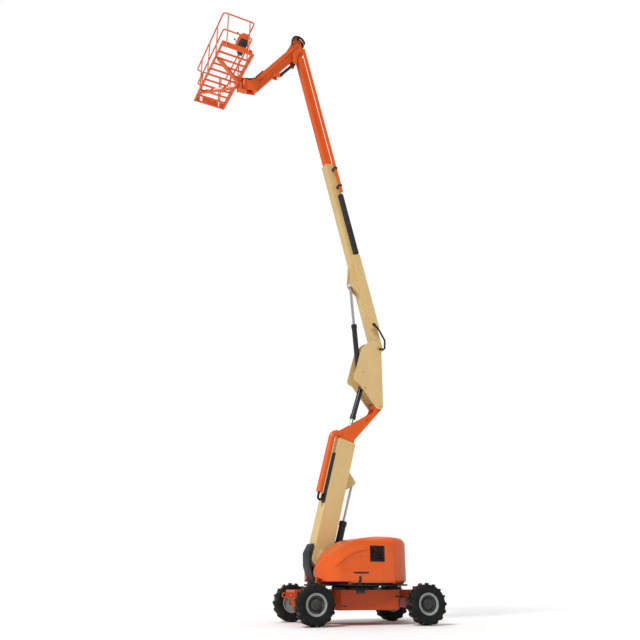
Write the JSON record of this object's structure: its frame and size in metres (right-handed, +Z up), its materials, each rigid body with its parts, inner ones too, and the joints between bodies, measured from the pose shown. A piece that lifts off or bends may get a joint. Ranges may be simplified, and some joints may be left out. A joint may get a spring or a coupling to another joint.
{
  "type": "articulating boom lift",
  "caption": "Self-propelled articulating boom lift with a telescoping tower, upright, telescoping main boom, jib and railed work platform on a steered four-wheel chassis",
  "frame": {"origin": "on the ground under the turntable's swing axis", "axes": "X forward over the steered axle, Y to the machine's left, Z up; the turntable is stored swung 11 degrees to the left"},
  "size_m": [6.1847, 3.2734, 16.0507],
  "materials": {
    "orange_paint": "orange gloss paint, weathered",
    "cream_paint": "cream semi-gloss paint",
    "black_paint": "black semi-gloss paint",
    "rim_paint": "pale grey paint, dusty",
    "tyre_rubber": "black rubber, dusty lugs",
    "hose_rubber": "black hose rubber",
    "black_plastic": "black moulded plastic",
    "rod_chrome": "hard chrome",
    "floor_steel": "worn galvanised steel",
    "engine_iron": "painted cast iron"
  },
  "bodies": {
    "chassis": {"chassis_frame": "orange_paint", "swing_bearing": "black_paint", "front_axle": "orange_paint", "rear_axle": "orange_paint"},
    "knuckle_left": {"knuckle_left": "orange_paint"},
    "knuckle_right": {"knuckle_right": "orange_paint"},
    "tie_rod": {"tie_rod": "black_paint"},
    "wheel_front_left": {"tyre_front_left": "tyre_rubber", "rim_front_left": "rim_paint"},
    "wheel_front_right": {"tyre_front_right": "tyre_rubber", "rim_front_right": "rim_paint"},
    "wheel_rear_left": {"tyre_rear_left": "tyre_rubber", "rim_rear_left": "rim_paint"},
    "wheel_rear_right": {"tyre_rear_right": "tyre_rubber", "rim_rear_right": "rim_paint"},
    "turntable": {"turntable_deck": "orange_paint", "counterweight": "orange_paint", "engine_block": "engine_iron", "hydraulic_tank": "black_paint", "foot_guard": "black_plastic"},
    "hood_left": {"hood_left": "orange_paint", "hood_grille_left": "black_plastic"},
    "hood_right": {"hood_right": "orange_paint", "hood_grille_right": "black_plastic"},
    "tower_base": {"tower_base": "cream_paint", "tower_hose_track": "black_plastic"},
    "tower_fly": {"tower_fly": "orange_paint", "tower_hose_tube": "orange_paint", "tower_hose_loop": "hose_rubber"},
    "tower_barrel": {"tower_cylinder_barrel": "black_paint"},
    "tower_rod": {"tower_cylinder_rod": "rod_chrome"},
    "upright": {"upright": "cream_paint"},
    "level_barrel": {"level_cylinder_barrel": "black_paint"},
    "level_rod": {"level_cylinder_rod": "rod_chrome"},
    "main_base": {"main_base": "cream_paint", "main_hose_track": "black_plastic", "main_foot_hose": "hose_rubber"},
    "main_barrel": {"main_cylinder_barrel": "black_paint"},
    "main_rod": {"main_cylinder_rod": "rod_chrome"},
    "main_fly": {"main_fly": "orange_paint", "fly_hose_rail": "orange_paint"},
    "tip_knuckle": {"tip_knuckle": "orange_paint", "tip_hoses": "hose_rubber"},
    "jib": {"jib_tube": "orange_paint"},
    "jib_links": {"jib_links": "orange_paint"},
    "jib_barrel": {"jib_cylinder_barrel": "black_paint"},
    "jib_rod": {"jib_cylinder_rod": "rod_chrome"},
    "platform_bracket": {"platform_bracket": "orange_paint"},
    "platform": {"platform_support": "orange_paint", "platform_floor": "floor_steel", "platform_rails": "orange_paint", "platform_console": "black_plastic"},
    "gate": {"platform_gate": "orange_paint"}
  },
  "joints": [
    {"name": "steer", "type": "hinge", "parent": "chassis", "child": "knuckle_left", "pos_m": [1.25, 0.83, 0.4276], "axis": [0, 0, 1], "range_deg": [-32, 32]},
    {"name": "steer_right", "type": "hinge", "parent": "chassis", "child": "knuckle_right", "pos_m": [1.25, -0.83, 0.4276], "axis": [0, 0, 1], "range_deg": [-33, 33]},
    {"name": "tie_rod_pivot", "type": "hinge", "parent": "knuckle_left", "child": "tie_rod", "pos_m": [1.05, 0.83, 0.4496], "axis": [0, 0, 1], "range_deg": [-33, 33]},
    {"name": "wheel_front_left_spin", "type": "hinge", "parent": "knuckle_left", "child": "wheel_front_left", "pos_m": [1.25, 1.0725, 0.4276], "axis": [0, 1, 0], "continuous": true},
    {"name": "wheel_front_right_spin", "type": "hinge", "parent": "knuckle_right", "child": "wheel_front_right", "pos_m": [1.25, -1.0725, 0.4276], "axis": [0, 1, 0], "continuous": true},
    {"name": "wheel_rear_left_spin", "type": "hinge", "parent": "chassis", "child": "wheel_rear_left", "pos_m": [-1.25, 1.0725, 0.4276], "axis": [0, 1, 0], "continuous": true},
    {"name": "wheel_rear_right_spin", "type": "hinge", "parent": "chassis", "child": "wheel_rear_right", "pos_m": [-1.25, -1.0725, 0.4276], "axis": [0, 1, 0], "continuous": true},
    {"name": "swing", "type": "hinge", "parent": "chassis", "child": "turntable", "pos_m": [0, 0, 0.76], "axis": [0, 0, 1], "range_deg": [-191, 169]},
    {"name": "hood_left_lift", "type": "hinge", "parent": "turntable", "child": "hood_left", "pos_m": [-0.06373, 0.32786, 1.715], "axis": [0.9816, 0.1908, 0], "range_deg": [0, 60]},
    {"name": "hood_right_lift", "type": "hinge", "parent": "turntable", "child": "hood_right", "pos_m": [0.06373, -0.32786, 1.715], "axis": [-0.9816, -0.1908, 0], "range_deg": [0, 60]},
    {"name": "tower_lift", "type": "hinge", "parent": "turntable", "child": "tower_base", "pos_m": [0.91291, 0.17745, 1.42], "axis": [0.1908, -0.9816, 0], "range_deg": [0, 75.5]},
    {"name": "tower_extend", "type": "slide", "parent": "tower_base", "child": "tower_fly", "axis": [-0.2458, -0.0478, 0.9681], "range_m": [0, 1.4]},
    {"name": "tower_barrel_pivot", "type": "hinge", "parent": "turntable", "child": "tower_barrel", "pos_m": [0.60861, 0.1183, 1.02], "axis": [0.1908, -0.9816, 0], "range_deg": [-1, 76.95]},
    {"name": "tower_rod_slide", "type": "slide", "parent": "tower_barrel", "child": "tower_rod", "axis": [-0.2637, -0.0513, 0.9633], "range_m": [-0.6245, 0.005]},
    {"name": "upright_level", "type": "hinge", "parent": "tower_fly", "child": "upright", "pos_m": [-0.66715, -0.12968, 5.05992], "axis": [0.1908, -0.9816, 0], "range_deg": [-76.5, 1]},
    {"name": "level_barrel_pivot", "type": "hinge", "parent": "upright", "child": "level_barrel", "pos_m": [-0.25522, -0.04961, 5.489], "axis": [0.1908, -0.9816, 0], "range_deg": [-1, 84.33]},
    {"name": "level_rod_slide", "type": "slide", "parent": "level_barrel", "child": "level_rod", "axis": [0.2994, 0.0582, -0.9523], "range_m": [-0.7204, 0.005]},
    {"name": "main_lift", "type": "hinge", "parent": "upright", "child": "main_base", "pos_m": [-0.64787, -0.12593, 6.62], "axis": [0.1908, -0.9816, 0], "range_deg": [-80, 0]},
    {"name": "main_barrel_pivot", "type": "hinge", "parent": "upright", "child": "main_barrel", "pos_m": [-0.19633, -0.03816, 5.9], "axis": [0.1908, -0.9816, 0], "range_deg": [-71.08, 1]},
    {"name": "main_rod_slide", "type": "slide", "parent": "main_barrel", "child": "main_rod", "axis": [0.08, 0.0155, 0.9967], "range_m": [-1.0553, 0.005]},
    {"name": "main_extend", "type": "slide", "parent": "main_base", "child": "main_fly", "axis": [0.2541, 0.0494, 0.9659], "range_m": [-3.6, 0]},
    {"name": "tip_level", "type": "hinge", "parent": "main_fly", "child": "tip_knuckle", "pos_m": [1.64991, 0.32071, 15.70368], "axis": [0.1908, -0.9816, 0], "range_deg": [-1, 81]},
    {"name": "jib_lift", "type": "hinge", "parent": "tip_knuckle", "child": "jib", "pos_m": [1.73138, 0.33655, 15.45268], "axis": [0.1908, -0.9816, 0], "range_deg": [-4.7, 125.3]},
    {"name": "jib_link_pivot", "type": "hinge", "parent": "tip_knuckle", "child": "jib_links", "pos_m": [1.70782, 0.33197, 15.77268], "axis": [0.1908, -0.9816, 0], "range_deg": [-5.7, 126.3]},
    {"name": "jib_barrel_pivot", "type": "hinge", "parent": "tip_knuckle", "child": "jib_barrel", "pos_m": [1.75102, 0.34036, 15.12268], "axis": [0.1908, -0.9816, 0], "range_deg": [-5.62, 124.05]},
    {"name": "jib_rod_slide", "type": "slide", "parent": "jib_barrel", "child": "jib_rod", "axis": [0.5798, 0.1127, -0.8069], "range_m": [-0.027, 0.5908]},
    {"name": "platform_level", "type": "hinge", "parent": "jib", "child": "platform_bracket", "pos_m": [2.90491, 0.56466, 13.72618], "axis": [0.1908, -0.9816, 0], "range_deg": [-126.3, 5.7]},
    {"name": "platform_turn", "type": "hinge", "parent": "platform_bracket", "child": "platform", "pos_m": [3.20921, 0.62381, 13.77018], "axis": [0, 0, 1], "range_deg": [-90, 90]},
    {"name": "gate_swing", "type": "hinge", "parent": "platform", "child": "gate", "pos_m": [4.35483, -0.37495, 14.30018], "axis": [0, 0, -1], "range_deg": [0, 90]}
  ],
  "couplings": [
    {"joint": "steer_right", "follows": "steer", "ratio": 1},
    {"joint": "tie_rod_pivot", "follows": "steer", "ratio": -1},
    {"joint": "tower_barrel_pivot", "follows": "tower_lift", "ratio": 1.0059},
    {"joint": "tower_rod_slide", "follows": "tower_lift", "m_per_rad": -0.47011},
    {"joint": "upright_level", "follows": "tower_lift", "ratio": -1},
    {"joint": "level_barrel_pivot", "follows": "tower_lift", "ratio": 1.1037},
    {"joint": "level_rod_slide", "follows": "tower_lift", "m_per_rad": -0.54287},
    {"joint": "main_barrel_pivot", "follows": "main_lift", "ratio": 0.87604},
    {"joint": "main_rod_slide", "follows": "main_lift", "m_per_rad": 0.7522},
    {"joint": "tip_level", "follows": "main_lift", "ratio": -1},
    {"joint": "jib_link_pivot", "follows": "jib_lift", "ratio": 1},
    {"joint": "jib_barrel_pivot", "follows": "jib_lift", "ratio": 0.98204},
    {"joint": "jib_rod_slide", "follows": "jib_lift", "m_per_rad": 0.26786},
    {"joint": "platform_level", "follows": "jib_lift", "ratio": -1}
  ]
}
